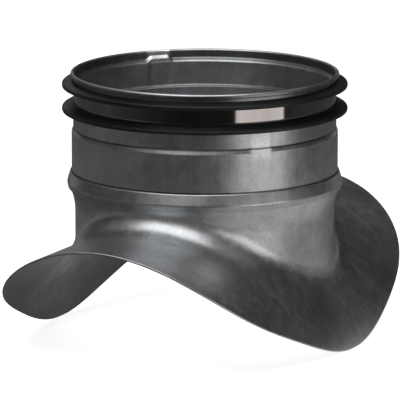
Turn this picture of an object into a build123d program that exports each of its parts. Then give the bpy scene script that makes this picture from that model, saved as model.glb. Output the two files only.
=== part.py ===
"""Duct saddle collar: a round branch spigot on a saddle that lies on a round main duct.

The origin is on the main duct's crown, where the branch axis meets it.
+Z runs up the branch, +Y along the main duct, and the saddle's two lobes hang at +X and -X.
Heights are worked out from the main duct's axis, and the finished pieces are lowered to the crown.
"""
from build123d import *
import math
import os

# Main duct under the saddle
main_duct_r = 62.5
main_duct_wall = 0.5

# Saddle, pressed from one sheet
saddle_wall = 0.7
neck_inset = 1.2
flange_end_margin = 40.75
flange_side_margin = 27.3
corner_shift = 1.6
corner_fullness = 0.3
blend_r_at_crest = 10.0
blend_r_at_sides = 14.5
blend_below_skirt = 0.6
flank_r = 22.0
sleeve_height = 5.0

# Collar, rolled from thinner sheet and locked on the neck by a rolled bead
collar_wall = 0.5
spigot_r = 49.6
bead_above_crest = 11.0
bead_height = 1.75
bead_slope_height = 4.2
bead_bend_r = 1.2
skirt_height = 1.9
skirt_turn_in = 0.35
lower_band_height = 14.55
step_height = 1.75
step_depth = 0.6
upper_band_height = 6.3
groove_depth = 1.7
groove_height = 9.8
rim_height = 4.5
rim_slope_height = 1.2
rim_overhang = 0.4
rim_curl_r = 0.75
rim_hem = 1.4
bend_r = 0.7
seam_width = 7.0
seam_height = 0.25
seam_angles = (-39.0, 141.0)

# Rubber gasket in the collar's groove, and the steel band that holds it
gasket_base = 1.2
lip_overhang = 3.55
lip_drop = 1.2
lip_rise = 1.75
lip_root = 2.0
lip_tip = 1.5
lip_pitch = 9.0
band_wall = 0.3
band_end_gap = 0.25

# Clearances where one piece nests in another
nest_gap = 0.1
groove_gap = 0.05
rim_gap = 0.1

# Sections and points of the saddle's loft
section_step = 10
section_overrun = 20
neck_points = 6
blend_points = 6
flange_points = 7

# Heights and radii worked out from the driving dimensions
neck_r = spigot_r - neck_inset
rim_r = spigot_r + rim_overhang
rim_wall_r = rim_r - 2 * rim_curl_r + collar_wall
lip_r = spigot_r + lip_overhang
seat_r = main_duct_r + main_duct_wall
crest_z = seat_r + saddle_wall
bead_z = crest_z + bead_above_crest
skirt_z = bead_z - skirt_height
lower_band_z = bead_z + bead_slope_height
step_z = lower_band_z + lower_band_height
upper_band_z = step_z + step_height
groove_z = upper_band_z + upper_band_height
rim_z = groove_z + groove_height
top_z = rim_z + rim_height
bead_r = spigot_r + bead_height
upper_band_r = spigot_r - step_depth
groove_r = upper_band_r - groove_depth
sleeve_r = spigot_r - collar_wall - nest_gap
nest_r = bead_r - collar_wall - nest_gap
flank_reach = nest_r - skirt_turn_in - neck_r
flank_foot_z = skirt_z - math.sqrt(flank_r**2 - (flank_r - flank_reach) ** 2)
half_length = neck_r + flange_end_margin
half_wrap = seat_r * math.asin(neck_r / seat_r) + flange_side_margin
gasket_r = groove_r + groove_gap
gasket_face_r = gasket_r + gasket_base
upper_lip_z = rim_z + lip_rise
lower_lip_z = upper_lip_z - lip_pitch


def flange_limit(angle):
    """Distance from the centre to the edge of the flat blank, by angle from the lobes."""
    mean = (half_length + half_wrap) / 2
    spread = (half_length - half_wrap) / 2
    corner = corner_shift * (math.cos(6 * angle) - math.cos(2 * angle))
    fullness = corner_fullness * (1 - math.cos(4 * angle))
    return mean - spread * math.cos(2 * angle) + corner + fullness


def edge_reach(sheet_r, turn):
    """Plan distance from the branch axis to the flange's edge, in the direction turn."""
    low = neck_r
    high = min(2 * half_length, sheet_r / max(abs(math.cos(turn)), 1e-6))
    for _ in range(60):
        middle = (low + high) / 2
        wrap = seat_r * math.asin(middle * math.cos(turn) / sheet_r)
        along = middle * math.sin(turn)
        if math.hypot(wrap, along) < flange_limit(math.atan2(along, wrap)):
            low = middle
        else:
            high = middle
    return low


def sheet_z(sheet_r, turn, reach):
    """Height of the rolled flange at a plan distance from the branch axis."""
    return math.sqrt(sheet_r**2 - (reach * math.cos(turn)) ** 2)


def flank(z):
    """The neck's outer radius and slope at a height: upright, then curving out to the bead."""
    rise = max(z - flank_foot_z, 0.0)
    run = math.sqrt(flank_r**2 - rise**2)
    return neck_r + flank_r - run, rise / run


def neck_run(wall, low_z):
    """Points down the neck, from the skirt's edge to the top of the blend."""
    points = []
    for step in range(neck_points + 1):
        z = skirt_z + (low_z - skirt_z) * step / neck_points
        reach, slope = flank(z)
        tilt = math.hypot(1.0, slope)
        points.append((reach - wall / tilt, z + wall * slope / tilt))
    return points


def blend_run(start, slope, land, grade):
    """Points of the drawn radius, a conic tangent to the neck and to the flange."""
    corner_z = (land[1] + grade * (start[0] - slope * start[1] - land[0])) / (1 - grade * slope)
    corner = (start[0] + slope * (corner_z - start[1]), corner_z)
    # With this weight legs of equal length give a circular arc
    weight = math.cos((math.pi / 2 + math.atan(slope) + math.atan(grade)) / 2)
    points = []
    for step in range(1, blend_points + 1):
        t = step / blend_points
        near, between, far = (1 - t) ** 2, 2 * t * (1 - t) * weight, t**2
        whole = near + between + far
        reach = (near * start[0] + between * corner[0] + far * land[0]) / whole
        z = (near * start[1] + between * corner[1] + far * land[1]) / whole
        points.append((reach, z))
    return points


def flange_run(sheet_r, turn, start, end):
    """Points along the flange from the blend to its edge, evenly spaced round the main duct."""
    across = math.cos(turn)
    points = []
    for step in range(1, flange_points + 1):
        share = step / flange_points
        reach = start + (end - start) * share
        if abs(across) > 1e-3:
            first = math.asin(start * across / sheet_r)
            last = math.asin(end * across / sheet_r)
            reach = sheet_r * math.sin(first + (last - first) * share) / across
        points.append((reach, sheet_z(sheet_r, turn, reach)))
    return points


def drawn_curve(wall, turn):
    """One face of the pressed sheet in a radial section, from the skirt's edge to the flange's.

    A wall of 0 gives the outer face, and the sheet's thickness gives the inner one.
    """
    sheet_r = crest_z - wall
    corner_z = sheet_z(crest_z, turn, neck_r)
    fall = math.atan(neck_r * math.cos(turn) ** 2 / corner_z)
    radius = blend_r_at_sides - (blend_r_at_sides - blend_r_at_crest) * math.sin(turn) ** 4
    tangent = radius * math.tan((math.pi / 2 - fall) / 2)
    blend_top = min(corner_z + tangent, skirt_z - blend_below_skirt)
    neck = neck_run(wall, blend_top)
    reach = (neck_r + tangent * math.cos(fall)) * (1 - wall / crest_z * math.cos(turn) ** 2)
    land = (reach, sheet_z(sheet_r, turn, reach))
    grade = -reach * math.cos(turn) ** 2 / land[1]
    blend = blend_run(neck[-1], flank(blend_top)[1], land, grade)
    return neck + blend + flange_run(sheet_r, turn, reach, edge_reach(sheet_r, turn))


def bead_curve(wall):
    """The neck above the skirt's edge, downwards: sleeve, slope out to the bead, turn in."""
    lean = math.hypot(bead_slope_height, nest_r - sleeve_r)
    crease_z = lower_band_z - wall * (nest_r - sleeve_r) / lean
    top = (sleeve_r - wall, lower_band_z + sleeve_height)
    return [top, (sleeve_r - wall, crease_z), (nest_r - wall, bead_z)]


def saddle_wire(turn):
    """The saddle's closed section in the radial plane at an angle from +X."""

    def place(points):
        return [(r * math.cos(turn), r * math.sin(turn), z) for r, z in points]

    faces = []
    for wall in (0.0, saddle_wall):
        drawn = place(drawn_curve(wall, turn))
        faces.append((place(bead_curve(wall)) + drawn[:1], drawn))
    (outer_bead, outer_drawn), (inner_bead, inner_drawn) = faces
    edges = [Edge.make_line(a, b) for a, b in zip(outer_bead, outer_bead[1:])]
    edges.append(Edge.make_spline(outer_drawn))
    edges.append(Edge.make_line(outer_drawn[-1], inner_drawn[-1]))
    edges.append(Edge.make_spline(inner_drawn[::-1]))
    edges += [Edge.make_line(a, b) for a, b in zip(inner_bead[::-1], inner_bead[-2::-1])]
    edges.append(Edge.make_line(inner_bead[0], outer_bead[0]))
    return Wire(edges)


def make_saddle():
    """A quarter lofted through radial sections past both mirror planes, trimmed and mirrored."""
    turns = range(-section_overrun, 90 + section_overrun + 1, section_step)
    swept = Solid.make_loft([saddle_wire(math.radians(t)) for t in turns])
    room = 2 * half_length
    quarter = swept & Pos(room / 2, room / 2, 0) * Box(room, room, 2 * room)
    half = quarter + mirror(quarter, about=Plane.YZ)
    return half + mirror(half, about=Plane.XZ)


def ring(section):
    """A full turn of a section drawn in the XZ plane, with X as the radius."""
    return revolve(Plane.XZ * section, axis=Axis.Z)


def make_collar():
    """One rolled sheet: skirt, bead, two bands with a step, gasket groove and curled rim."""
    half = collar_wall / 2
    hem_r = rim_r - 2 * rim_curl_r
    path = FilletPolyline(
        (bead_r - skirt_turn_in - half, skirt_z),
        (bead_r - half, bead_z),
        (spigot_r - half, lower_band_z),
        (spigot_r - half, step_z),
        (upper_band_r - half, upper_band_z),
        (upper_band_r - half, groove_z),
        (groove_r - half, groove_z + groove_depth / 2),
        (groove_r - half, rim_z),
        (hem_r + half, rim_z + rim_slope_height),
        (hem_r + half, top_z - half),
        (rim_r - half, top_z - half),
        (rim_r - half, top_z - rim_hem),
        radius=[bead_bend_r] + 7 * [bend_r] + 2 * [(rim_curl_r - half) * 0.98],
    )
    sheet = ring(make_face(offset(path, amount=half, side=Side.BOTH)))
    for angle in seam_angles:
        sheet += Rot(0, 0, angle) * make_seam()
    return sheet


def make_seam():
    """The lap where the rolled sheet's ends overlap, a raised strip up both bands."""
    lap = collar_wall / 2
    lower_band = [(spigot_r, lower_band_z), (spigot_r, step_z)]
    line = lower_band + [(upper_band_r, upper_band_z), (upper_band_r, groove_z)]
    outer = [(r + seam_height, z) for r, z in line]
    inner = [(r - lap, z) for r, z in line[::-1]]
    section = make_face(Polyline(*outer, *inner, close=True))
    arc = math.degrees(seam_width / spigot_r)
    return Rot(0, 0, -arc / 2) * revolve(Plane.XZ * section, axis=Axis.Z, revolution_arc=arc)


def lip(root_z, start_r):
    """The section of one lip, from start_r out and down to its tip, and back to the base ring."""
    tip_z = root_z - lip_drop
    start_z = root_z - lip_drop * (start_r - gasket_face_r) / (lip_r - gasket_face_r)
    tip = [(lip_r, tip_z), (lip_r, tip_z - lip_tip)]
    return [(start_r, start_z)] + tip + [(gasket_face_r, root_z - lip_root)]


def make_gasket():
    """A base ring in the groove, with two lips that slope outwards and down.

    The upper lip starts outside the collar's rim, whose slope the ring keeps clear of.
    """
    bottom = groove_z + groove_depth / 2 + bend_r
    top = rim_z - bend_r
    shoulder_r = rim_wall_r + rim_gap
    shoulder = (shoulder_r, rim_z + rim_slope_height / 2)
    lips = lip(upper_lip_z, shoulder_r) + lip(lower_lip_z, gasket_face_r)
    return ring(make_face(Polyline(*lips, (gasket_r, bottom), (gasket_r, top), shoulder, close=True)))


def make_gasket_band():
    """The thin steel band between the lips, seated on the gasket's base ring."""
    top = upper_lip_z - lip_root - band_end_gap
    bottom = lower_lip_z + band_end_gap
    outer_r = gasket_face_r + band_wall
    corners = [(gasket_face_r, bottom), (outer_r, bottom), (outer_r, top), (gasket_face_r, top)]
    return ring(make_face(Polyline(*corners, close=True)))


pieces = {
    "saddle": make_saddle(),
    "collar": make_collar(),
    "gasket": make_gasket(),
    "gasket_band": make_gasket_band(),
}
os.makedirs("parts", exist_ok=True)
for name, shape in pieces.items():
    piece = Pos(0, 0, -seat_r) * shape
    export_step(piece, os.path.join("parts", name + ".step"))
    box = piece.bounding_box()
    print(name, "solids", len(piece.solids()), "volume", round(piece.volume, 1), "box", box.min, box.max)
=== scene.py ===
# %% [markdown]
# A duct saddle collar in Blender. A pressed steel saddle lies on a round main duct, and a short round
# collar with a double-lip rubber gasket stands on it, ready for a branch duct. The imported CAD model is
# the frame: it fixes every size and place, and this lesson dresses it in finer meshes and finishes.

import math

import bmesh
import bpy
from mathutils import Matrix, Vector


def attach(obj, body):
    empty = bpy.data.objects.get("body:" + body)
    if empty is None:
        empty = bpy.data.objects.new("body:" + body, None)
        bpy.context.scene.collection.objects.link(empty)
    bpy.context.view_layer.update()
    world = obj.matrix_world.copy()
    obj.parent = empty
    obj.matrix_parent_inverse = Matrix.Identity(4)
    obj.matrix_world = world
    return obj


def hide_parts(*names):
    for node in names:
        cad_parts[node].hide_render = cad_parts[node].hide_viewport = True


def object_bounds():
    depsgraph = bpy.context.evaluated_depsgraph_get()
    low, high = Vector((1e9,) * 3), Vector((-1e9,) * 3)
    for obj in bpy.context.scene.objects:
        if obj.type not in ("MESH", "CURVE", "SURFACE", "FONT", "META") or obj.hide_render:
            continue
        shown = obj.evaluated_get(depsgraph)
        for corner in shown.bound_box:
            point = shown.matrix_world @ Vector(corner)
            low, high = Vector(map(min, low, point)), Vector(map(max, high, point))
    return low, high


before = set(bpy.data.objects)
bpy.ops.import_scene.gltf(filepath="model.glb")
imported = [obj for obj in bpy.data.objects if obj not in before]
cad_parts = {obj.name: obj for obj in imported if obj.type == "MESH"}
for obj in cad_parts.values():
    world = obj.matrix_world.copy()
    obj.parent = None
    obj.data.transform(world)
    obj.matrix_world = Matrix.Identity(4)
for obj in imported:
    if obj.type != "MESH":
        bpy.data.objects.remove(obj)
cad_low, cad_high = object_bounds()
mm = 0.001
scene = bpy.context.scene
scene.view_settings.view_transform = "Standard"
print("nodes", sorted(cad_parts), "box", tuple(cad_low), tuple(cad_high))

# %% [markdown]
# The camera comes first, because every later choice is judged through it. The photograph was taken with a
# long lens from the front right and a little above. The lens, distance and angles below were found by
# fitting the saddle's edge and the rings to the picture, so the outlines fall on each other.

# %% Camera
photo_size = 400
focal_px = 5163
view_azimuth = math.radians(26.08)
view_elevation = math.radians(11.07)
view_distance = 1.925
aim_point = Vector((0, 0, 19.34 * mm))
aim_px = (204.75, 159.37)
sensor_width = 36

view_back = Vector((
    math.sin(view_azimuth) * math.cos(view_elevation),
    -math.cos(view_azimuth) * math.cos(view_elevation),
    math.sin(view_elevation),
))
view_right = Vector((math.cos(view_azimuth), math.sin(view_azimuth), 0))
view_up = view_back.cross(view_right)
off_right = (photo_size / 2 - aim_px[0]) / focal_px
off_up = (aim_px[1] - photo_size / 2) / focal_px
look = -view_back + view_right * off_right + view_up * off_up

camera_data = bpy.data.cameras.new("camera")
camera_data.sensor_width = sensor_width
camera_data.lens = focal_px / photo_size * sensor_width
camera = bpy.data.objects.new("camera", camera_data)
camera.location = aim_point + view_back * view_distance
camera.rotation_mode = "QUATERNION"
camera.rotation_quaternion = look.to_track_quat("-Z", "Y")
scene.collection.objects.link(camera)
scene.camera = camera
print("lens", round(camera_data.lens, 1), "mm, eye", [round(v, 3) for v in camera.location])

# %% [markdown]
# Stage cloths, finishes and shapes are all built from nodes. Each could be drawn by hand in an editor, but
# in a script a few helpers keep it short: one adds a node, one fills a socket, one chains math nodes, and
# one maps a range of numbers to another.


# %% Node helpers
def add_node(tree, kind, **values):
    """A node with its plain properties set."""
    node = tree.nodes.new(kind)
    for name, value in values.items():
        setattr(node, name, value)
    return node


def feed(tree, socket, value):
    """Links an output to a socket, or sets the socket to a constant."""
    if isinstance(value, bpy.types.NodeSocket):
        tree.links.new(value, socket)
    else:
        socket.default_value = value


def reckon(tree, operation, first, *others):
    """Math nodes in a chain: the operation on the first value and each of the others in turn."""
    for other in others:
        node = add_node(tree, "ShaderNodeMath", operation=operation)
        feed(tree, node.inputs[0], first)
        feed(tree, node.inputs[1], other)
        first = node.outputs[0]
    return first


def spread(tree, value, low, high, out_low, out_high, curve="LINEAR"):
    """A value's range mapped to another range, clamped."""
    node = add_node(tree, "ShaderNodeMapRange", interpolation_type=curve)
    for socket, number in zip(node.inputs[:5], (value, low, high, out_low, out_high)):
        feed(tree, socket, number)
    return node.outputs[0]


def finished_by(name, kind):
    """A material whose surface is one shader node: (material, tree, shader)."""
    material = bpy.data.materials.new(name)
    material.use_nodes = True
    tree = material.node_tree
    tree.nodes.clear()
    shader = add_node(tree, kind)
    out = add_node(tree, "ShaderNodeOutputMaterial")
    tree.links.new(shader.outputs[0], out.inputs["Surface"])
    return material, tree, shader


# %% [markdown]
# Bright sheet metal has hardly any colour of its own: it shows the room. So the stage is built for what the
# steel sees. A pale floor lies under it, a soft box stands close on its right, a large one hangs above, and
# two weaker ones fill in from the front and from behind. Three rings of grey card on the floor and a tent
# of dim cloth keep the steel dark between its highlights. Their glow changes with direction, as a real
# room's does. They are left out of the camera's sight, and the card shows in reflections only.

# %% Floor
floor_z = cad_low.z
floor_half = 6.0
floor_colour = (0.82, 0.82, 0.82)
floor_lift = 0.8


def stage_mesh(name, build, material):
    """A stage object from a bmesh recipe."""
    shape = bmesh.new()
    build(shape)
    mesh = bpy.data.meshes.new(name)
    shape.to_mesh(mesh)
    shape.free()
    mesh.materials.append(material)
    item = bpy.data.objects.new(name, mesh)
    scene.collection.objects.link(item)
    return item


def floor_finish():
    """A pale floor, lifted to white for the eye and in reflections, which keeps the shadow."""
    material, tree, both = finished_by("floor_paper", "ShaderNodeAddShader")
    paper = add_node(tree, "ShaderNodeBsdfDiffuse")
    paper.inputs["Color"].default_value = (*floor_colour, 1)
    rays = add_node(tree, "ShaderNodeLightPath").outputs
    kinds = [rays[kind] for kind in ("Is Camera Ray", "Is Glossy Ray", "Is Transmission Ray")]
    seen = reckon(tree, "MAXIMUM", *kinds)
    lift = add_node(tree, "ShaderNodeEmission")
    tree.links.new(reckon(tree, "MULTIPLY", seen, floor_lift), lift.inputs["Strength"])
    tree.links.new(paper.outputs[0], both.inputs[0])
    tree.links.new(lift.outputs[0], both.inputs[1])
    return material


def floor_shape(shape):
    """One large square under the lowest point of the object."""
    bmesh.ops.create_grid(shape, x_segments=1, y_segments=1, size=floor_half)
    bmesh.ops.translate(shape, verts=shape.verts, vec=(0, 0, floor_z))


stage_mesh("floor", floor_shape, floor_finish())
print("floor at", round(floor_z / mm, 2), "mm")

# %% Cards and tent
floor_cards = {
    "near_card": {"radii": (0.04, 0.2), "bearing": 58, "grade": (0.2, 0.75), "levels": (0.09, 0.52)},
    "side_card": {"radii": (0.2, 0.4), "bearing": -8, "grade": (0.62, 0.95), "levels": (0.16, 0.02)},
    "far_card": {"radii": (0.4, 2.4), "bearing": 10, "grade": (-0.2, 0.9), "levels": (0.09, 0.02)},
}
card_height = 0.3 * mm
card_steps = 48
tent_radius = 2.5
tent_foot = -tent_radius * 0.05
tent_bearing = -60
tent_lift = 80
tent_grade = (0.25, 1.15)
tent_levels = (0.042, 0.42)


def towards(bearing, lift=0.0):
    """A unit vector at an angle to the right of the camera and a lift above level."""
    angle = view_azimuth + math.radians(bearing)
    level = Vector((math.sin(angle), -math.cos(angle), 0)) * math.cos(math.radians(lift))
    return level + Vector((0, 0, math.sin(math.radians(lift))))


def graded_glow(name, direction, grade, levels):
    """Cloth whose glow goes from one level to another as it lies more in a direction."""
    material, tree, light = finished_by(name, "ShaderNodeEmission")
    place = add_node(tree, "ShaderNodeTexCoord")
    unit = add_node(tree, "ShaderNodeVectorMath", operation="NORMALIZE")
    tree.links.new(place.outputs["Object"], unit.inputs[0])
    share = add_node(tree, "ShaderNodeVectorMath", operation="DOT_PRODUCT")
    share.inputs[1].default_value = direction
    tree.links.new(unit.outputs[0], share.inputs[0])
    level = spread(tree, share.outputs["Value"], *grade, *levels, "SMOOTHSTEP")
    tree.links.new(level, light.inputs["Strength"])
    return material


def card_shape(radii):
    """A flat ring of card on the floor, as a recipe for stage_mesh."""

    def build(shape):
        turns = [2 * math.pi * i / card_steps for i in range(card_steps)]
        z = floor_z + card_height
        rings = [[shape.verts.new((r * math.cos(t), r * math.sin(t), z)) for t in turns] for r in radii]
        for i in range(card_steps):
            j = (i + 1) % card_steps
            shape.faces.new((rings[0][i], rings[1][i], rings[1][j], rings[0][j]))

    return build


def tent_shape(shape):
    """A dome of dim cloth over the floor."""
    bmesh.ops.create_uvsphere(shape, u_segments=32, v_segments=16, radius=tent_radius)
    low = [v for v in shape.verts if v.co.z < tent_foot]
    bmesh.ops.delete(shape, geom=low, context="VERTS")


cloths = []
for name, card in floor_cards.items():
    cloth = graded_glow(name + "_cloth", towards(card["bearing"]), card["grade"], card["levels"])
    item = stage_mesh(name, card_shape(card["radii"]), cloth)
    item.visible_diffuse = False
    item.visible_shadow = False
    cloths.append(item)
tent_cloth = graded_glow("tent_cloth", towards(tent_bearing, tent_lift), tent_grade, tent_levels)
cloths.append(stage_mesh("tent", tent_shape, tent_cloth))
for item in cloths:
    item.visible_camera = False
print("stage cloths", [item.name for item in cloths])

# %% World and soft boxes
world = bpy.data.worlds.new("studio")
scene.world = world
world.use_nodes = True
sky = world.node_tree.nodes["Background"].inputs
sky["Color"].default_value = (1, 1, 1, 1)
sky["Strength"].default_value = 1.0
white = (1, 1, 1)


def soft_box(name, bearing, lift, distance, size, radiance, colour=white):
    """An area lamp at a bearing and a lift from the collar, facing it.

    Its radiance is how bright its face looks, whatever its size.
    """
    lamp = bpy.data.lights.new(name, "AREA")
    lamp.shape = "RECTANGLE"
    lamp.size, lamp.size_y = size
    lamp.energy = radiance * math.pi * size[0] * size[1]
    lamp.color = colour
    item = bpy.data.objects.new(name, lamp)
    away = towards(bearing, lift)
    item.location = aim_point + away * distance
    item.rotation_mode = "QUATERNION"
    item.rotation_quaternion = (-away).to_track_quat("-Z", "Y")
    item.visible_camera = False
    scene.collection.objects.link(item)


warm_white = (1.0, 0.97, 0.96)
soft_box("key_box", bearing=47, lift=0, distance=0.36, size=(0.285, 0.14), radiance=1.6, colour=warm_white)
soft_box("top_box", bearing=-15, lift=70, distance=0.9, size=(1.05, 1.05), radiance=1.9)
soft_box("rear_box", bearing=190, lift=30, distance=1.3, size=(0.4, 0.7), radiance=0.5)
soft_box("front_box", bearing=-24, lift=32, distance=1.3, size=(0.8, 0.55), radiance=0.55)

# %% [markdown]
# Galvanised sheet is steel dipped in zinc: a grey metal with a faint crystal mottle, fine streaks from the
# rolls, soft stains and a few scuffs. Shade is painted in as a darker colour over the bead, over the step
# and on the rim below its top line. Highlights are painted in as a brighter colour on the laps, where two
# sheets lie on each other, at the near step and the far rim. It is fully metallic, so all of this goes into
# a grey base colour, the roughness and a very shallow bump. An image wrapped round the ring would show a
# seam. Noise read in Object coordinates has none, and squeezed in plan and stretched in height it gives
# upright streaks.

# %% Pattern helpers
mid_noise = (0.3, 0.7)


def object_noise(tree, scale, detail=3.0, turn=(0, 0, 0), rough=0.5):
    """Noise in Object coordinates, with its own scale along each axis and a turn."""
    place = add_node(tree, "ShaderNodeTexCoord")
    mapping = add_node(tree, "ShaderNodeMapping")
    mapping.inputs["Scale"].default_value = scale
    mapping.inputs["Rotation"].default_value = turn
    tree.links.new(place.outputs["Object"], mapping.inputs["Vector"])
    noise = add_node(tree, "ShaderNodeTexNoise")
    noise.inputs["Scale"].default_value = 1.0
    noise.inputs["Detail"].default_value = detail
    noise.inputs["Roughness"].default_value = rough
    tree.links.new(mapping.outputs[0], noise.inputs["Vector"])
    return noise.outputs["Fac"]


def bump(tree, height, distance, under=None):
    """A bump node's normal, stacked on another where given."""
    node = add_node(tree, "ShaderNodeBump")
    node.inputs["Strength"].default_value = 1.0
    node.inputs["Distance"].default_value = distance
    tree.links.new(height, node.inputs["Height"])
    if under is not None:
        tree.links.new(under, node.inputs["Normal"])
    return node.outputs[0]


def tinted(tree, colour, amount):
    """A colour multiplied by a grey amount."""
    node = add_node(tree, "ShaderNodeMix", data_type="RGBA", blend_type="MULTIPLY")
    first_colour, second_colour = node.inputs[6:8]
    node.inputs["Factor"].default_value = 1.0
    first_colour.default_value = (*colour, 1)
    grey = add_node(tree, "ShaderNodeCombineColor")
    for socket in grey.inputs[:3]:
        feed(tree, socket, amount)
    tree.links.new(grey.outputs[0], second_colour)
    return node.outputs[2]


# %% Painted shade in creases and painted highlights on laps
def object_place(tree):
    """The X, Y and Z of the Object coordinates."""
    place = add_node(tree, "ShaderNodeTexCoord")
    split = add_node(tree, "ShaderNodeSeparateXYZ")
    tree.links.new(place.outputs["Object"], split.inputs[0])
    return split.outputs


def in_band(tree, height, low, high, edge):
    """1 between two heights in millimetres, fading to 0 over an edge outside them."""
    over = spread(tree, height, (low - edge) * mm, low * mm, 0, 1)
    under = spread(tree, height, high * mm, (high + edge) * mm, 1, 0)
    return reckon(tree, "MULTIPLY", over, under)


def crease_painted_shade(tree, low, high, edge, left):
    """The share of the colour that painted shade between two heights leaves."""
    return spread(tree, in_band(tree, object_place(tree)[2], low, high, edge), 0, 1, 1, left)


def lap_painted_highlight(tree, low, high, edge, gain, side):
    """The gain of a painted highlight on a lap between two heights: side 1 is the far lap, -1 the near one.
    """
    place = object_place(tree)
    lap = add_node(tree, "ShaderNodeAttribute", attribute_name="lap").outputs["Fac"]
    on_side = spread(tree, reckon(tree, "MULTIPLY", place[1], side), 0, mm, 0, 1)
    highlight_spot = reckon(tree, "MULTIPLY", in_band(tree, place[2], low, high, edge), lap, on_side)
    return spread(tree, highlight_spot, 0, 1, 1, gain)


# %% Zinc values
streak_dulling = 0.03
stain_scale = (32, 32, 32)
stain_shades = (0.78, 1.16)
stain_dull_range = (0.45, 0.75)
stain_dulling = 0.08
stain_bump = 0.2 * mm
mottle_scale = (260, 260, 260)
mottle_shades = (0.93, 1.07)
mottle_dulling = 0.05
mottle_bump = 0.012 * mm
grain_scale = (1500, 1500, 1500)
grain_shades = (0.9, 1.1)
scuff_scale = (800, 800, 190)
scuff_turn = (0.5, 0.35, 0.0)
scuff_range = (0.64, 0.78)
scuff_gain = 1.3
scuff_dulling = 0.08

# Painted shade: a darker colour over the bead, over the step and on the rim below its top line.
over_bead_painted_shade = {"low": 15.95, "high": 16.35, "edge": 0.2, "left": 0.22}
over_step_painted_shade = {"low": 31.9, "high": 32.3, "edge": 0.3, "left": 0.3}
rim_painted_shade = {"low": 48.9, "high": 52.0, "edge": 0.5, "left": 0.45}
# Painted highlights: a brighter colour on the far lap at the rim and on the near lap at the step.
far_rim_painted_highlight = {"low": 48.5, "high": 53.0, "edge": 0.5, "gain": 3.2, "side": 1}
near_step_painted_highlight = {"low": 31.5, "high": 33.5, "edge": 5.0, "gain": 1.35, "side": -1}
collar_painted_shade = (over_bead_painted_shade, over_step_painted_shade, rim_painted_shade)
collar_painted_highlights = (far_rim_painted_highlight, near_step_painted_highlight)
# Prints the heights where each band of painted shade starts.
print("collar dirt from", [spot["low"] for spot in collar_painted_shade], "mm up")


# %% Zinc finish
def zinc(name, colour, roughness, streak_scale, streak_share, painted_shade=(), painted_highlights=()):
    """Galvanised sheet: mottle, rolled streaks, stains, scuffs, painted shade in creases and painted
    highlights on laps.
    """
    material, tree, shader = finished_by(name, "ShaderNodeBsdfPrincipled")
    shader.inputs["Metallic"].default_value = 1.0
    streaks = object_noise(tree, streak_scale, detail=5.0, rough=0.65)
    stains = object_noise(tree, stain_scale, detail=6.0, rough=0.65)
    mottle = object_noise(tree, mottle_scale, detail=3.0, rough=0.6)
    grain = object_noise(tree, grain_scale, detail=1.0)
    scuffs = object_noise(tree, scuff_scale, detail=3.0, turn=scuff_turn, rough=0.6)
    shades = [
        spread(tree, streaks, *mid_noise, 1 - streak_share, 1 + streak_share),
        spread(tree, stains, *mid_noise, *stain_shades),
        spread(tree, mottle, *mid_noise, *mottle_shades),
        spread(tree, grain, *mid_noise, *grain_shades),
        spread(tree, scuffs, *scuff_range, 1, scuff_gain),
    ]
    # Painted shade and painted highlights are multiplied into the base colour.
    shades += [crease_painted_shade(tree, **spot) for spot in painted_shade]
    shades += [lap_painted_highlight(tree, **spot) for spot in painted_highlights]
    shade = reckon(tree, "MULTIPLY", *shades)
    tree.links.new(tinted(tree, colour, shade), shader.inputs["Base Color"])
    dullings = [
        spread(tree, streaks, *mid_noise, roughness, roughness + streak_dulling),
        spread(tree, stains, *stain_dull_range, 0, stain_dulling),
        spread(tree, mottle, *mid_noise, 0, mottle_dulling),
        spread(tree, scuffs, *scuff_range, 0, scuff_dulling),
    ]
    tree.links.new(reckon(tree, "ADD", *dullings), shader.inputs["Roughness"])
    normal = bump(tree, stains, stain_bump, bump(tree, mottle, mottle_bump))
    tree.links.new(normal, shader.inputs["Normal"])
    return material


saddle_zinc = zinc(
    "saddle_zinc",
    colour=(0.49, 0.5, 0.512),
    roughness=0.29,
    streak_scale=(420, 420, 60),
    streak_share=0.03,
)
collar_zinc = zinc(
    "collar_zinc",
    colour=(0.43, 0.44, 0.45),
    roughness=0.285,
    streak_scale=(900, 900, 14),
    streak_share=0.05,
    painted_shade=collar_painted_shade,
    painted_highlights=collar_painted_highlights,
)
print("finishes", saddle_zinc.name, collar_zinc.name)

# %% [markdown]
# The gasket is black rubber, which is never quite black nor quite matt: it has a soft sheen that changes in
# patches, and a fine grain. The band is bright rolled steel, smooth enough to mirror the soft box, with
# fine lines round it from the rolls and faint clouds.

# %% Rubber and bright steel finishes
rubber_colour = (0.006, 0.006, 0.0065)
rubber_shades = (0.7, 1.5)
rubber_roughness = (0.36, 0.5)
rubber_bump = 0.02 * mm
band_colour = (0.3, 0.28, 0.27)
band_shades = (0.82, 1.14)
band_roughness = (0.06, 0.1)
band_bump = 0.003 * mm


def black_rubber():
    """Satin black rubber, a little uneven."""
    material, tree, shader = finished_by("black_rubber", "ShaderNodeBsdfPrincipled")
    shader.inputs["Specular IOR Level"].default_value = 0.3
    grain = object_noise(tree, (900, 900, 900), detail=3.0)
    patches = object_noise(tree, (45, 45, 45), detail=3.0)
    shade = spread(tree, patches, *mid_noise, *rubber_shades)
    tree.links.new(tinted(tree, rubber_colour, shade), shader.inputs["Base Color"])
    tree.links.new(spread(tree, patches, *mid_noise, *rubber_roughness), shader.inputs["Roughness"])
    tree.links.new(bump(tree, grain, rubber_bump), shader.inputs["Normal"])
    return material


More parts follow.
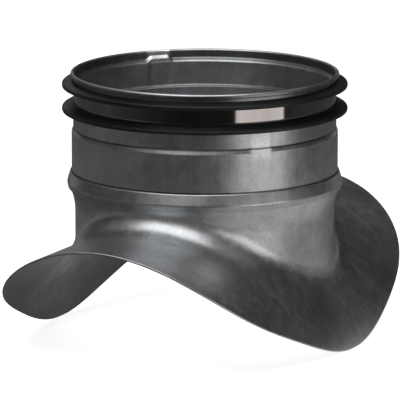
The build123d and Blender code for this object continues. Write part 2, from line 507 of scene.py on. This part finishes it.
def bright_rolled():
    """Bright steel with rolled lines round the ring."""
    material, tree, shader = finished_by("bright_steel", "ShaderNodeBsdfPrincipled")
    shader.inputs["Metallic"].default_value = 1.0
    lines = object_noise(tree, (25, 25, 3200), detail=3.0, rough=0.7)
    clouds = object_noise(tree, (160, 160, 5), detail=3.0)
    shade = spread(tree, clouds, *mid_noise, *band_shades)
    tree.links.new(tinted(tree, band_colour, shade), shader.inputs["Base Color"])
    tree.links.new(spread(tree, lines, *mid_noise, *band_roughness), shader.inputs["Roughness"])
    tree.links.new(bump(tree, lines, band_bump), shader.inputs["Normal"])
    return material


rubber = black_rubber()
bright_steel = bright_rolled()
print("finishes", rubber.name, bright_steel.name)

# %% [markdown]
# Three of the pieces are rings: one section turned about the branch axis. Blender has a Spin tool and a
# Screw modifier for that, but a Geometry Nodes tree can also change the section on the way round, which the
# lap seams need. The tree lays out a grid, reads the section's point for each row, and turns it by the
# column's share of a circle. Near a seam it moves from the plain section to a second one, kept as an
# attribute. It also stores how far each point is on a lap, and the zinc reads that for its painted
# highlights.


# %% Section helpers
def rounded(points, radii, steps=4, hold=0.15):
    """An open path in (radius, height) with its corners rounded.

    A point held close to each end of a straight run keeps the run's shading flat.
    """
    corners = [Vector(p) for p in points]
    arcs = []
    for before, corner, after, radius in zip(corners, corners[1:], corners[2:], radii):
        back = (before - corner).normalized()
        ahead = (after - corner).normalized()
        half = back.angle(ahead) / 2
        middle = corner + (back + ahead).normalized() * (radius / math.sin(half))
        first = corner + back * (radius / math.tan(half)) - middle
        last = corner + ahead * (radius / math.tan(half)) - middle
        start = math.atan2(first.y, first.x)
        sweep = (math.atan2(last.y, last.x) - start + math.pi) % (2 * math.pi) - math.pi
        turns = [start + sweep * i / steps for i in range(steps + 1)]
        arcs.append([middle + Vector((math.cos(t), math.sin(t))) * radius for t in turns])
    path = [corners[0]]
    for arc in arcs + [[corners[-1]]]:
        run = arc[0] - path[-1]
        if run.length > 3 * hold:
            path += [path[-1] + run.normalized() * hold, arc[0] - run.normalized() * hold]
        path += arc
    return path


def strip(path, half, end_steps=4):
    """A closed section round a path: half a sheet to each side, with rounded ends.

    Returns the points and, for each, 1 on the path's right-hand side, 0 on its left, 0.5 at the ends.
    """
    sides = []
    for i in range(len(path)):
        run = path[min(i + 1, len(path) - 1)] - path[max(i - 1, 0)]
        sides.append(Vector((run.y, -run.x)).normalized())
    points = [p + n * half for p, n in zip(path, sides)]
    right = [1.0] * len(points)
    for centre, side, back in ((path[-1], sides[-1], path[::-1]), (path[0], -sides[0], None)):
        ahead = Vector((-side.y, side.x))
        for i in range(1, end_steps):
            angle = math.pi * i / end_steps
            points.append(centre + (side * math.cos(angle) + ahead * math.sin(angle)) * half)
            right.append(0.5)
        if back:
            points += [p - n * half for p, n in zip(back, sides[::-1])]
            right += [0.0] * len(back)
    points.append(points[0].copy())
    right.append(right[0])
    return points, right


# %% Ring tree parts
ring_inputs = {
    "Segments": "NodeSocketInt",
    "Seam Angle": "NodeSocketFloat",
    "Seam Half Width": "NodeSocketFloat",
    "Seam Soft Edge": "NodeSocketFloat",
    "Seam Sharp Edge": "NodeSocketFloat",
    "Far Seam Turn": "NodeSocketFloat",
    "Finish": "NodeSocketMaterial",
}


def stored(tree, name):
    """A vector attribute of the section's points."""
    node = add_node(tree, "GeometryNodeInputNamedAttribute", data_type="FLOAT_VECTOR")
    node.inputs["Name"].default_value = name
    return node.outputs["Attribute"]


def at_row(tree, section, value, row):
    """The X, Y and Z of a vector on the section's points, read at a row."""
    sample = add_node(tree, "GeometryNodeSampleIndex", data_type="FLOAT_VECTOR", domain="POINT")
    tree.links.new(section, sample.inputs["Geometry"])
    tree.links.new(value, sample.inputs["Value"])
    tree.links.new(row, sample.inputs["Index"])
    split = add_node(tree, "ShaderNodeSeparateXYZ")
    tree.links.new(sample.outputs[0], split.inputs[0])
    return split.outputs


def lap_share(tree, given, turn, radius, side):
    """1 on the near lap and on the far one, 0 elsewhere, with a soft edge and a sharp edge to each."""
    off = reckon(tree, "SUBTRACT", turn, given["Seam Angle"])
    far = reckon(tree, "MULTIPLY", reckon(tree, "SUBTRACT", 1, reckon(tree, "COSINE", off, 0)), 0.5)
    off = reckon(tree, "SUBTRACT", off, reckon(tree, "MULTIPLY", far, given["Far Seam Turn"]))
    facing = reckon(tree, "SIGN", reckon(tree, "COSINE", off, 0), 0)
    flip = reckon(tree, "SUBTRACT", reckon(tree, "MULTIPLY", side, 2), 1)
    across = reckon(tree, "MULTIPLY", reckon(tree, "SINE", off, 0), radius, facing, flip)
    half = given["Seam Half Width"]
    soft_end = reckon(tree, "MULTIPLY", half, -1)
    soft_start = reckon(tree, "SUBTRACT", soft_end, given["Seam Soft Edge"])
    sharp_end = reckon(tree, "ADD", half, given["Seam Sharp Edge"])
    rise = spread(tree, across, soft_start, soft_end, 0.0, 1.0, "SMOOTHSTEP")
    fall = spread(tree, across, half, sharp_end, 1.0, 0.0, "SMOOTHSTEP")
    return reckon(tree, "MULTIPLY", rise, fall)


# %% Ring grid and ring end
weld_distance = 0.002 * mm


def ring_grid(tree, given):
    """A flat grid with a row for each point of the section: (mesh, turn, row) for its points."""
    size = add_node(tree, "GeometryNodeAttributeDomainSize", component="MESH")
    tree.links.new(given["Section"], size.inputs[0])
    rows = size.outputs["Point Count"]
    last_row = reckon(tree, "SUBTRACT", rows, 1)
    grid = add_node(tree, "GeometryNodeMeshGrid")
    grid.inputs["Size X"].default_value = 1.0
    tree.links.new(last_row, grid.inputs["Size Y"])
    tree.links.new(reckon(tree, "ADD", given["Segments"], 1), grid.inputs["Vertices X"])
    tree.links.new(rows, grid.inputs["Vertices Y"])
    here = add_node(tree, "ShaderNodeSeparateXYZ")
    tree.links.new(add_node(tree, "GeometryNodeInputPosition").outputs[0], here.inputs[0])
    turn = reckon(tree, "MULTIPLY", reckon(tree, "ADD", here.outputs[0], 0.5), 2 * math.pi)
    middle_row = reckon(tree, "MULTIPLY", last_row, 0.5)
    row = reckon(tree, "ROUND", reckon(tree, "ADD", here.outputs[1], middle_row), 0)
    return grid.outputs["Mesh"], turn, row


def ring_end(tree, given, mesh, lap, place):
    """Stores the lap, moves the grid's points, welds the ring shut and paints it."""
    keep = add_node(tree, "GeometryNodeStoreNamedAttribute", data_type="FLOAT", domain="POINT")
    keep.inputs["Name"].default_value = "lap"
    tree.links.new(mesh, keep.inputs["Geometry"])
    tree.links.new(lap, keep.inputs["Value"])
    move = add_node(tree, "GeometryNodeSetPosition")
    tree.links.new(keep.outputs[0], move.inputs["Geometry"])
    tree.links.new(place, move.inputs["Position"])
    weld = add_node(tree, "GeometryNodeMergeByDistance")
    weld.inputs["Distance"].default_value = weld_distance
    tree.links.new(move.outputs[0], weld.inputs[0])
    real = add_node(tree, "GeometryNodeRealizeInstances")
    tree.links.new(weld.outputs[0], real.inputs[0])
    paint = add_node(tree, "GeometryNodeSetMaterial")
    tree.links.new(real.outputs[0], paint.inputs["Geometry"])
    tree.links.new(given["Finish"], paint.inputs["Material"])
    tree.links.new(paint.outputs[0], add_node(tree, "NodeGroupOutput").inputs[0])


# %% Ring tree
def ring_tree():
    """Geometry Nodes: turns the input's points, in order, about Z into a closed ring."""
    tree = bpy.data.node_groups.new("turned_ring", "GeometryNodeTree")
    sockets = tree.interface
    sockets.new_socket("Section", in_out="INPUT", socket_type="NodeSocketGeometry")
    for name, kind in ring_inputs.items():
        sockets.new_socket(name, in_out="INPUT", socket_type=kind)
    sockets.new_socket("Ring", in_out="OUTPUT", socket_type="NodeSocketGeometry")
    given = add_node(tree, "NodeGroupInput").outputs
    section = given["Section"]
    mesh, turn, row = ring_grid(tree, given)
    plain = at_row(tree, section, add_node(tree, "GeometryNodeInputPosition").outputs[0], row)
    lapped = at_row(tree, section, stored(tree, "at_seam"), row)
    side = at_row(tree, section, stored(tree, "side"), row)[0]
    lap = lap_share(tree, given, turn, plain[0], side)

    def between(i):
        change = reckon(tree, "SUBTRACT", lapped[i], plain[i])
        return reckon(tree, "ADD", plain[i], reckon(tree, "MULTIPLY", change, lap))

    radius = between(0)
    place = add_node(tree, "ShaderNodeCombineXYZ")
    tree.links.new(reckon(tree, "MULTIPLY", radius, reckon(tree, "COSINE", turn, 0)), place.inputs[0])
    tree.links.new(reckon(tree, "MULTIPLY", radius, reckon(tree, "SINE", turn, 0)), place.inputs[1])
    tree.links.new(between(2), place.inputs[2])
    ring_end(tree, given, mesh, lap, place.outputs[0])
    return tree


turned_ring = ring_tree()
print("ring tree has", len(turned_ring.nodes), "nodes")

# %% Ring maker
doubles_distance = 0.001 * mm
no_seam = {
    "Seam Angle": 0.0,
    "Seam Half Width": 1 * mm,
    "Seam Soft Edge": 1 * mm,
    "Seam Sharp Edge": 1 * mm,
    "Far Seam Turn": 0.0,
}


def outward(mesh):
    """Turns a closed mesh's faces outwards and shades it smooth; returns its volume."""
    shape = bmesh.new()
    shape.from_mesh(mesh)
    bmesh.ops.remove_doubles(shape, verts=shape.verts, dist=doubles_distance)
    bmesh.ops.recalc_face_normals(shape, faces=shape.faces)
    if shape.calc_volume(signed=True) < 0:
        bmesh.ops.reverse_faces(shape, faces=shape.faces)
    shape.to_mesh(mesh)
    volume = shape.calc_volume()
    shape.free()
    mesh.polygons.foreach_set("use_smooth", [True] * len(mesh.polygons))
    return volume


def make_ring(name, section, finish, segments, lapped=None, seam=no_seam):
    """A ring from a closed section in millimetres; lapped is the section at a seam."""
    points, side = section
    lapped = lapped or points
    mesh = bpy.data.meshes.new(name + "_section")
    mesh.from_pydata([(p.x * mm, 0, p.y * mm) for p in points], [], [])
    layer = mesh.attributes.new("at_seam", "FLOAT_VECTOR", "POINT")
    layer.data.foreach_set("vector", [v for p in lapped for v in (p.x * mm, 0, p.y * mm)])
    layer = mesh.attributes.new("side", "FLOAT_VECTOR", "POINT")
    layer.data.foreach_set("vector", [v for s in side for v in (s, 0, 0)])
    drawn = bpy.data.objects.new(name + "_section", mesh)
    scene.collection.objects.link(drawn)
    ring = drawn.modifiers.new("turned_ring", "NODES")
    ring.node_group = turned_ring
    values = {"Segments": segments, "Finish": finish, **seam}
    for item in turned_ring.interface.items_tree:
        if item.in_out == "INPUT" and item.name in values:
            ring[item.identifier] = values[item.name]
    ready = drawn.evaluated_get(bpy.context.evaluated_depsgraph_get())
    turned = bpy.data.meshes.new_from_object(ready)
    turned.name = name
    bpy.data.objects.remove(drawn)
    volume = outward(turned)
    piece = bpy.data.objects.new(name, turned)
    scene.collection.objects.link(piece)
    print(name, len(turned.polygons), "faces,", round(volume / mm**3), "cubic mm")
    return piece


# %% [markdown]
# The collar is one thin sheet rolled into a tube and joined along laps. Its section, from the bottom: a
# skirt that grips the neck, the stop bead with a small ledge over it, the lower band, a small step in, the
# upper band, the groove that holds the gasket, and a rim curled outwards. At a lap two sheets lie on each
# other, so the step and the groove are pressed less sharply there, the wall is thicker, and the rim is
# filled on the inside.

# %% Collar sizes
saddle_wall = 0.7
collar_wall = 0.5
spigot_r = 49.6
upper_band_r = 49.0
groove_r = 47.3
bead_r = 51.35
rim_r = 50.0
rim_curl_r = 0.75
rim_hem = 1.4
skirt_turn_in = 0.35
bead_z = saddle_wall + 11.0
skirt_z = bead_z - 1.9
lower_band_z = bead_z + 4.2
step_z = lower_band_z + 14.55
upper_band_z = step_z + 1.75
groove_z = upper_band_z + 6.3
groove_slope_height = 0.85
rim_z = groove_z + 9.8
rim_slope_height = 1.2
top_z = rim_z + 4.5
bead_bend_r = 1.2
ledge_depth = 0.55
ledge_drop = 0.35
ledge_bend_r = 0.27
bend_r = 0.7
curl_bend_r = (rim_curl_r - collar_wall / 2) * 0.98
collar_segments = 480
print("collar from", round(skirt_z, 2), "to", round(top_z, 2), "mm")

# %% Collar seam sizes
seam_soft_step = 0.8
seam_soft_groove = 0.45
seam_lift = 0.12
seam_rim_lift = 1.3
seam_width = 7.0
collar_seam = {
    "Seam Angle": math.radians(-39),
    "Far Seam Turn": math.radians(-4.2),
    "Seam Half Width": seam_width / 2 * mm,
    "Seam Soft Edge": 2.5 * mm,
    "Seam Sharp Edge": 0.9 * mm,
}
lift_margin = 0.5
fill_margin = 1.0
print("two laps", seam_width, "mm wide, thicker by", seam_lift, "mm on each side")


# %% Collar
def collar_section(soft_step=0.0, soft_groove=0.0, lift=0.0, rim_lift=0.0):
    """The collar's closed section; a lap softens the step, groove and rim and thickens the wall."""
    half = collar_wall / 2
    hem_r = rim_r - 2 * rim_curl_r
    path = rounded(
        [
            (bead_r - skirt_turn_in - half, skirt_z),
            (bead_r - half, bead_z),
            (spigot_r - half + ledge_depth, lower_band_z - ledge_drop),
            (spigot_r - half, lower_band_z),
            (spigot_r - half, step_z - soft_step),
            (upper_band_r - half, upper_band_z + soft_step),
            (upper_band_r - half, groove_z),
            (groove_r - half + soft_groove, groove_z + groove_slope_height),
            (groove_r - half + soft_groove, rim_z + rim_lift),
            (hem_r + half, rim_z + rim_slope_height + rim_lift),
            (hem_r + half, top_z - half),
            (rim_r - half, top_z - half),
            (rim_r - half, top_z - rim_hem),
        ],
        [bead_bend_r] + 2 * [ledge_bend_r] + 6 * [bend_r] + 2 * [curl_bend_r],
    )
    points, side = strip(path, half)
    wide = strip(path, half + lift)[0]
    on_bands = [lower_band_z + lift_margin < p.y < rim_z + lift_margin for p in points]
    return [w if on else p for p, w, on in zip(points, wide, on_bands)], side


def lapped_points():
    """The section at a lap, whose rim is filled on the inside only."""
    plain, side = collar_section()
    lapped = collar_section(seam_soft_step, seam_soft_groove, seam_lift, seam_rim_lift)[0]
    outside = [s == 1.0 and p.y > rim_z - fill_margin for p, s in zip(plain, side)]
    return [p if out else q for p, q, out in zip(plain, lapped, outside)]


collar = make_ring(
    "collar_sheet", collar_section(), collar_zinc, collar_segments, lapped_points(), collar_seam
)

# %% [markdown]
# The gasket is one moulded ring: a flat base that fills the groove and two thin lips that lean outwards and
# down, so a duct slides on easily and is held from sliding off. Its section is drawn with rounded tips and
# roots, because a sharp corner in rubber would look like plastic.

# %% Gasket
gasket_r = groove_r + 0.05
gasket_face_r = gasket_r + 1.2
lip_r = 53.15
lip_drop = 1.2
lip_root = 2.0
lip_tip = 1.5
upper_lip_z = rim_z + 1.75
lower_lip_z = upper_lip_z - 9.0
shoulder_r = rim_r - 2 * rim_curl_r + collar_wall + 0.1
back_rounds = [0.2, 0.2, 0.2]
tip_rounds = [0.55, 0.45]
between_lips_rounds = [0.6, 0.5]
foot_rounds = [0.3, 0.2]
gasket_round_steps = 5
gasket_segments = 360


def lip(root_z, start_r):
    """One lip, from the top of its root out to the tip and back along the underside."""
    tip_z = root_z - lip_drop
    start_z = root_z - lip_drop * (start_r - gasket_face_r) / (lip_r - gasket_face_r)
    underside = (gasket_face_r, root_z - lip_root)
    return [(start_r, start_z), (lip_r, tip_z), (lip_r, tip_z - lip_tip), underside]


def gasket_section():
    """The gasket's closed section; its first and last point is half way up the back."""
    bottom = (gasket_r, groove_z + groove_slope_height + bend_r)
    top = (gasket_r, rim_z - bend_r)
    shoulder = (shoulder_r, rim_z + rim_slope_height / 2)
    middle = (gasket_r, (bottom[1] + top[1]) / 2)
    lips = lip(upper_lip_z, shoulder_r) + lip(lower_lip_z, gasket_face_r)
    radii = back_rounds + tip_rounds + between_lips_rounds + tip_rounds + foot_rounds
    path = rounded([middle, top, shoulder] + lips + [bottom, middle], radii, gasket_round_steps)
    return path, [1.0] * len(path)


gasket = make_ring("gasket_ring", gasket_section(), rubber, gasket_segments)

# %% [markdown]
# The band is a thin strip of bright steel round the gasket's base, between its lips. A bare cylinder would
# have hard edges with nothing behind them, so the strip has its real thickness and rounded edges, and the
# same ring tree turns it. A small gap to each lip keeps the two from cutting into each other.

# %% Gasket band
band_wall = 0.3
band_gap = 0.25
band_low = lower_lip_z + band_gap
band_high = upper_lip_z - lip_root - band_gap
band_r = gasket_face_r + band_wall / 2
band_steps = 8


def band_section():
    """A thin upright strip with rounded edges."""
    rise = (band_high - band_low - band_wall) / band_steps
    path = [Vector((band_r, band_low + band_wall / 2 + rise * i)) for i in range(band_steps + 1)]
    return strip(path, band_wall / 2)


band = make_ring("gasket_band_strip", band_section(), bright_steel, gasket_segments)

# %% [markdown]
# The saddle is one sheet: a blank rolled to the main duct's curve, with a neck drawn up out of it. A
# subdivided cage could look alike, but the sheet has to lie on the duct and fit the collar, so it is worked
# out as radial sections round the branch axis. Each runs down the neck, through the drawn radius, and out
# along the duct's curve to the blank's edge, which is a rounded oblong when the sheet is laid flat.

# %% Saddle sizes
seat_r = 63.0
crest_r = seat_r + saddle_wall
neck_r = 48.4
flank_r = 22.0
blend_r_at_crest = 10.0
blend_r_at_sides = 14.5
blend_below_skirt = 0.6
sleeve_r = 49.0
sleeve_height = 5.0
nest_r = 50.75
half_length = 89.14
lobe_width = 27.3
half_wrap = seat_r * math.asin(neck_r / seat_r) + lobe_width
corner_shift = 1.6
corner_fullness = 0.3
edge_round = 0.12
edge_shares = (0.2, 0.5, 0.8)
saddle_turns = 288
neck_points = 12
blend_points = 16
flange_points = 26
flange_crowding = 1.6
halvings = 50
not_zero = 1e-6
nearly_along = 1e-3
saddle_crease = math.radians(50)
skirt_h = seat_r + skirt_z
bead_h = seat_r + bead_z
lower_band_h = seat_r + lower_band_z
flank_foot_h = skirt_h - math.sqrt(flank_r**2 - (flank_r - (nest_r - skirt_turn_in - neck_r)) ** 2)
print("blank", round(2 * half_length, 1), "x", round(2 * half_wrap, 1), "mm")


# %% Saddle edge
def flange_limit(angle):
    """Distance from the centre to the edge of the flat blank, by angle from the lobes."""
    mean = (half_length + half_wrap) / 2
    lean = (half_length - half_wrap) / 2
    corner = corner_shift * (math.cos(6 * angle) - math.cos(2 * angle))
    return mean - lean * math.cos(2 * angle) + corner + corner_fullness * (1 - math.cos(4 * angle))


def edge_reach(sheet_r, turn):
    """Plan distance from the branch axis to the flange's edge, found by halving."""
    low = neck_r
    high = min(2 * half_length, sheet_r / max(abs(math.cos(turn)), not_zero))
    for _ in range(halvings):
        middle = (low + high) / 2
        wrap = seat_r * math.asin(middle * math.cos(turn) / sheet_r)
        along = middle * math.sin(turn)
        if math.hypot(wrap, along) < flange_limit(math.atan2(along, wrap)):
            low = middle
        else:
            high = middle
    return low


def sheet_h(sheet_r, turn, reach):
    """Height of the rolled flange over the main duct's axis."""
    return math.sqrt(sheet_r**2 - (reach * math.cos(turn)) ** 2)


print("edge reaches", [round(edge_reach(crest_r, turn), 1) for turn in (0, math.pi / 2)], "mm in plan")


# %% Saddle runs
def flank(height):
    """The neck's outer radius and slope: upright, then curving out to the bead."""
    rise = max(height - flank_foot_h, 0.0)
    run = math.sqrt(flank_r**2 - rise**2)
    return neck_r + flank_r - run, rise / run


def neck_run(wall, foot):
    """The neck's points from the skirt's edge down to a foot height, and the slope there."""
    points = []
    for step in range(neck_points + 1):
        height = skirt_h + (foot - skirt_h) * step / neck_points
        reach, slope = flank(height)
        tilt = math.hypot(1.0, slope)
        points.append(Vector((reach - wall / tilt, height + wall * slope / tilt)))
    return points, slope


def blend_run(first, slope, land, grade):
    """The drawn radius: a rational curve from the neck's foot to where it lands on the flange."""
    corner_y = (land.y + grade * (first.x - slope * first.y - land.x)) / (1 - grade * slope)
    corner = Vector((first.x + slope * (corner_y - first.y), corner_y))
    weight = math.cos((math.pi / 2 + math.atan(slope) + math.atan(grade)) / 2)
    points = []
    for step in range(1, blend_points + 1):
        t = step / blend_points
        near, between, far = (1 - t) ** 2, 2 * t * (1 - t) * weight, t**2
        points.append((first * near + corner * between + land * far) / (near + between + far))
    return points


def flange_run(sheet_r, turn, start):
    """The flange from the drawn radius to its edge, with its points crowded towards the edge."""
    end = edge_reach(sheet_r, turn) - edge_round
    points = []
    for step in range(1, flange_points + 1):
        share = 1 - (1 - step / flange_points) ** flange_crowding
        reach = start + (end - start) * share
        if abs(math.cos(turn)) > nearly_along:
            low = math.asin(start * math.cos(turn) / sheet_r)
            high = math.asin(end * math.cos(turn) / sheet_r)
            reach = sheet_r * math.sin(low + (high - low) * share) / math.cos(turn)
        points.append(Vector((reach, sheet_h(sheet_r, turn, reach))))
    return points


# %% Saddle faces
def drawn_face(wall, turn):
    """One face of the sheet from the skirt's edge to the flange's: wall 0 is the outer face."""
    sheet_r = crest_r - wall
    corner_h = sheet_h(crest_r, turn, neck_r)
    fall = math.atan(neck_r * math.cos(turn) ** 2 / corner_h)
    radius = blend_r_at_sides - (blend_r_at_sides - blend_r_at_crest) * math.sin(turn) ** 4
    tangent = radius * math.tan((math.pi / 2 - fall) / 2)
    neck, slope = neck_run(wall, min(corner_h + tangent, skirt_h - blend_below_skirt))
    start = (neck_r + tangent * math.cos(fall)) * (1 - wall / crest_r * math.cos(turn) ** 2)
    land = Vector((start, sheet_h(sheet_r, turn, start)))
    grade = -start * math.cos(turn) ** 2 / land.y
    return neck + blend_run(neck[-1], slope, land, grade) + flange_run(sheet_r, turn, start)


def bead_face(wall):
    """The neck above the skirt's edge: the sleeve inside the collar, and the bead."""
    lean = math.hypot(lower_band_h - bead_h, nest_r - sleeve_r)
    crease_h = lower_band_h - wall * (nest_r - sleeve_r) / lean
    sleeve_top = Vector((sleeve_r - wall, lower_band_h + sleeve_height))
    return [sleeve_top, Vector((sleeve_r - wall, crease_h)), Vector((nest_r - wall, bead_h))]


def saddle_section(turn):
    """The saddle's closed section, with a rounded cut edge."""
    outer = bead_face(0.0) + drawn_face(0.0, turn)
    inner = bead_face(saddle_wall) + drawn_face(saddle_wall, turn)
    rim = []
    for share in edge_shares:
        reach = edge_reach(crest_r - saddle_wall * share, turn)
        rim.append(Vector((reach, sheet_h(crest_r - saddle_wall * share, turn, reach))))
    return outer + rim + inner[::-1]


print("a saddle section has", len(saddle_section(0.0)), "points")


# %% Saddle
def make_saddle():
    """The sections joined round the branch axis into one closed sheet."""
    corners = []
    for i in range(saddle_turns):
        turn = 2 * math.pi * i / saddle_turns
        points = saddle_section(turn)
        for p in points:
            corners.append((p.x * math.cos(turn) * mm, p.x * math.sin(turn) * mm, (p.y - seat_r) * mm))
    rows = len(points)
    faces = []
    for i in range(saddle_turns):
        here, there = i * rows, (i + 1) % saddle_turns * rows
        for j in range(rows):
            k = (j + 1) % rows
            faces.append((here + j, there + j, there + k, here + k))
    mesh = bpy.data.meshes.new("saddle_sheet")
    mesh.from_pydata(corners, [], faces)
    volume = outward(mesh)
    mesh.set_sharp_from_angle(angle=saddle_crease)
    mesh.materials.append(saddle_zinc)
    piece = bpy.data.objects.new("saddle_sheet", mesh)
    scene.collection.objects.link(piece)
    print("saddle_sheet", len(mesh.polygons), "faces,", round(volume / mm**3), "cubic mm")
    return piece


saddle = make_saddle()

# %% [markdown]
# Each new piece stands for one CAD node and moves with the one body, and the CAD node it stands for is
# hidden.

# %% Tie the pieces to the frame
for piece, node, slot in (
    (saddle, "saddle", "saddle_steel"),
    (collar, "collar", "collar_steel"),
    (gasket, "gasket", "gasket_rubber"),
    (band, "gasket_band", "band_steel"),
):
    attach(piece, "root")
    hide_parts(node)
